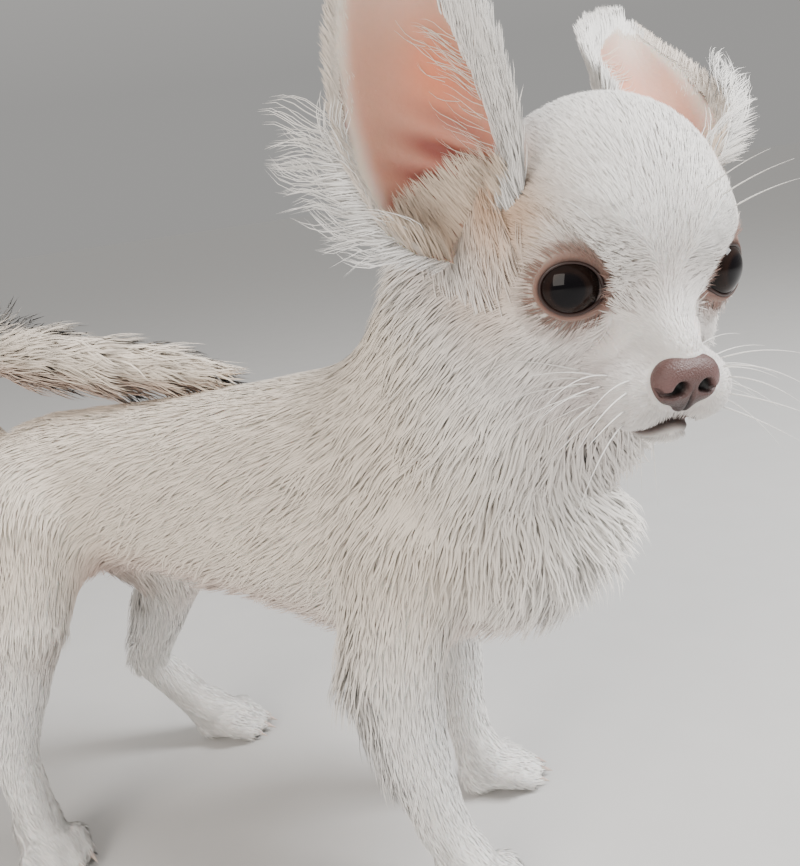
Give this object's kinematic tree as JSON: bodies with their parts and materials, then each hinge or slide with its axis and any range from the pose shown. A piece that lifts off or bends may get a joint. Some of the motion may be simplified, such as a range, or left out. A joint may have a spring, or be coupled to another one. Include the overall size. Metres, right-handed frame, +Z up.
{
  "type": "chihuahua",
  "caption": "Life-size long-coated white and cream chihuahua, standing still with its head turned to its right and its tail curled forward over its back.",
  "frame": {"origin": "centre of the part's box in plan, on the floor that the paws stand on", "axes": "+X to the front of the dog's body, +Y to its left, +Z up"},
  "size_m": [0.2992, 0.1232, 0.2849],
  "materials": {
    "coat": "matte",
    "eye": "gloss",
    "nose": "satin",
    "ear_skin": "satin"
  },
  "bodies": {
    "root": {"head": "coat", "muzzle": "coat", "nose": "nose", "neck": "coat", "eye_left": "eye", "eye_right": "eye", "ear_left": "ear_skin", "ear_right": "ear_skin", "torso": "coat", "foreleg_left": "coat", "foreleg_right": "coat", "forepaw_left": "coat", "forepaw_right": "coat", "thigh_left": "coat", "thigh_right": "coat", "shank_left": "coat", "shank_right": "coat", "hindpaw_left": "coat", "hindpaw_right": "coat", "tail_root": "coat", "tail_middle": "coat", "tail_end": "coat"}
  },
  "joints": []
}
